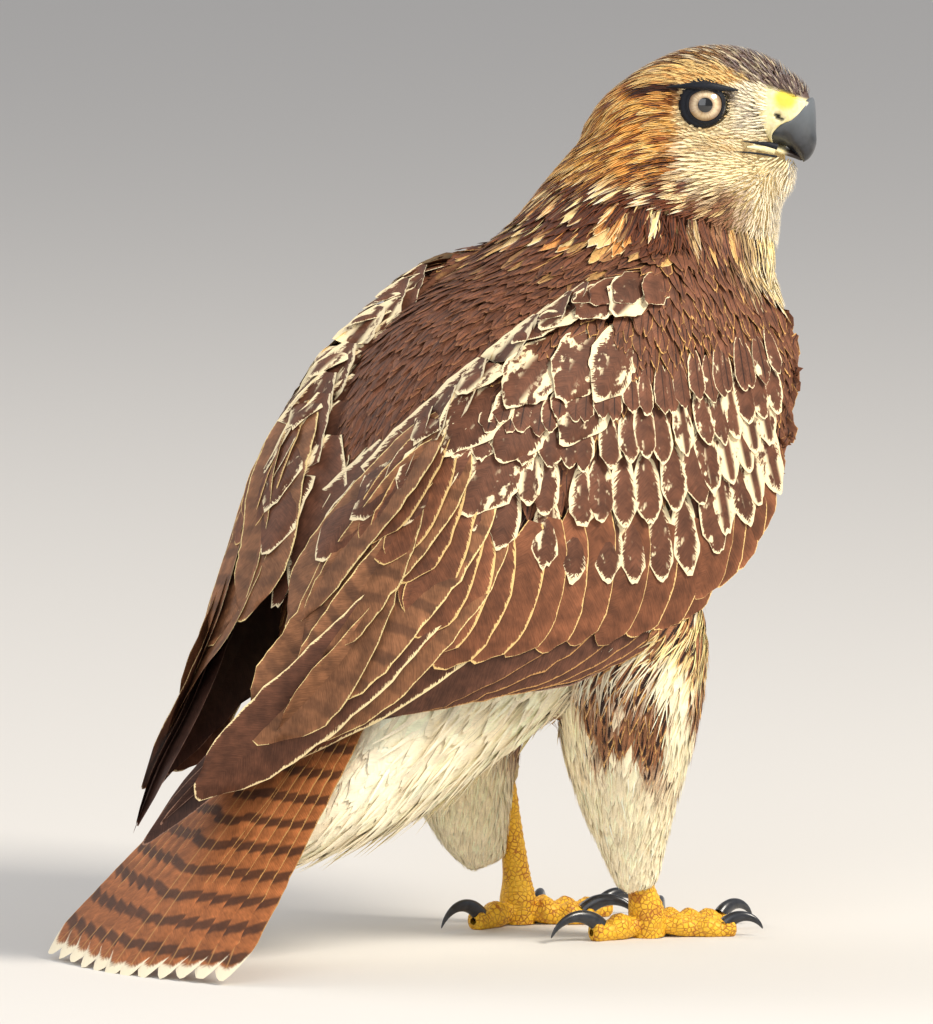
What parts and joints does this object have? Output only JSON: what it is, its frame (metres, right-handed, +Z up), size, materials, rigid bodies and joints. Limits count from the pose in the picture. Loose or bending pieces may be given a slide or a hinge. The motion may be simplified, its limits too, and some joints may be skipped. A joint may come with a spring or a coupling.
{
  "type": "red-tailed hawk model",
  "caption": "Life-size standing red-tailed hawk with folded wings, its head turned over the right shoulder and its tail tip on the floor.",
  "frame": {"origin": "under the middle of the bird's bounding box, on the floor", "axes": "+X the way the body faces, +Y the bird's left, +Z up"},
  "size_m": [0.3768, 0.1806, 0.4148],
  "materials": {
    "feathers_head": "Soft small feathers: buff and cream with dark brown streaks.",
    "feathers_brown": "Smooth brown vanes with paler edges and white spots.",
    "feathers_cream": "Silky cream plumage with brown splotches.",
    "feathers_rufous": "Rufous brown tail vanes with dark bars and pale tips.",
    "leg_skin": "Scaly yellow skin, a little glossy.",
    "cere": "Smooth waxy pale yellow skin.",
    "horn": "Polished slate black horn.",
    "eye": "Wet cream iris with a black pupil, under a clear cornea."
  },
  "bodies": {
    "root": {"head": "feathers_head", "cere": "cere", "bill_upper": "horn", "bill_lower": "horn", "eye_right": "eye", "eye_left": "eye", "neck": "feathers_brown", "mantle": "feathers_brown", "breast": "feathers_cream", "rump": "feathers_brown", "belly": "feathers_cream", "wing_right_coverts": "feathers_brown", "wing_right_secondaries": "feathers_brown", "wing_right_primaries": "feathers_brown", "wing_left_coverts": "feathers_brown", "wing_left_secondaries": "feathers_brown", "wing_left_primaries": "feathers_brown", "tail": "feathers_rufous", "claw_right_hallux": "horn", "toe_right_hallux": "leg_skin", "claw_right_inner": "horn", "toe_right_inner": "leg_skin", "claw_right_middle": "horn", "toe_right_middle": "leg_skin", "claw_right_outer": "horn", "toe_right_outer": "leg_skin", "tarsus_right": "leg_skin", "thigh_right": "feathers_cream", "claw_left_hallux": "horn", "toe_left_hallux": "leg_skin", "claw_left_inner": "horn", "toe_left_inner": "leg_skin", "claw_left_middle": "horn", "toe_left_middle": "leg_skin", "claw_left_outer": "horn", "toe_left_outer": "leg_skin", "tarsus_left": "leg_skin", "thigh_left": "feathers_cream"}
  },
  "joints": []
}
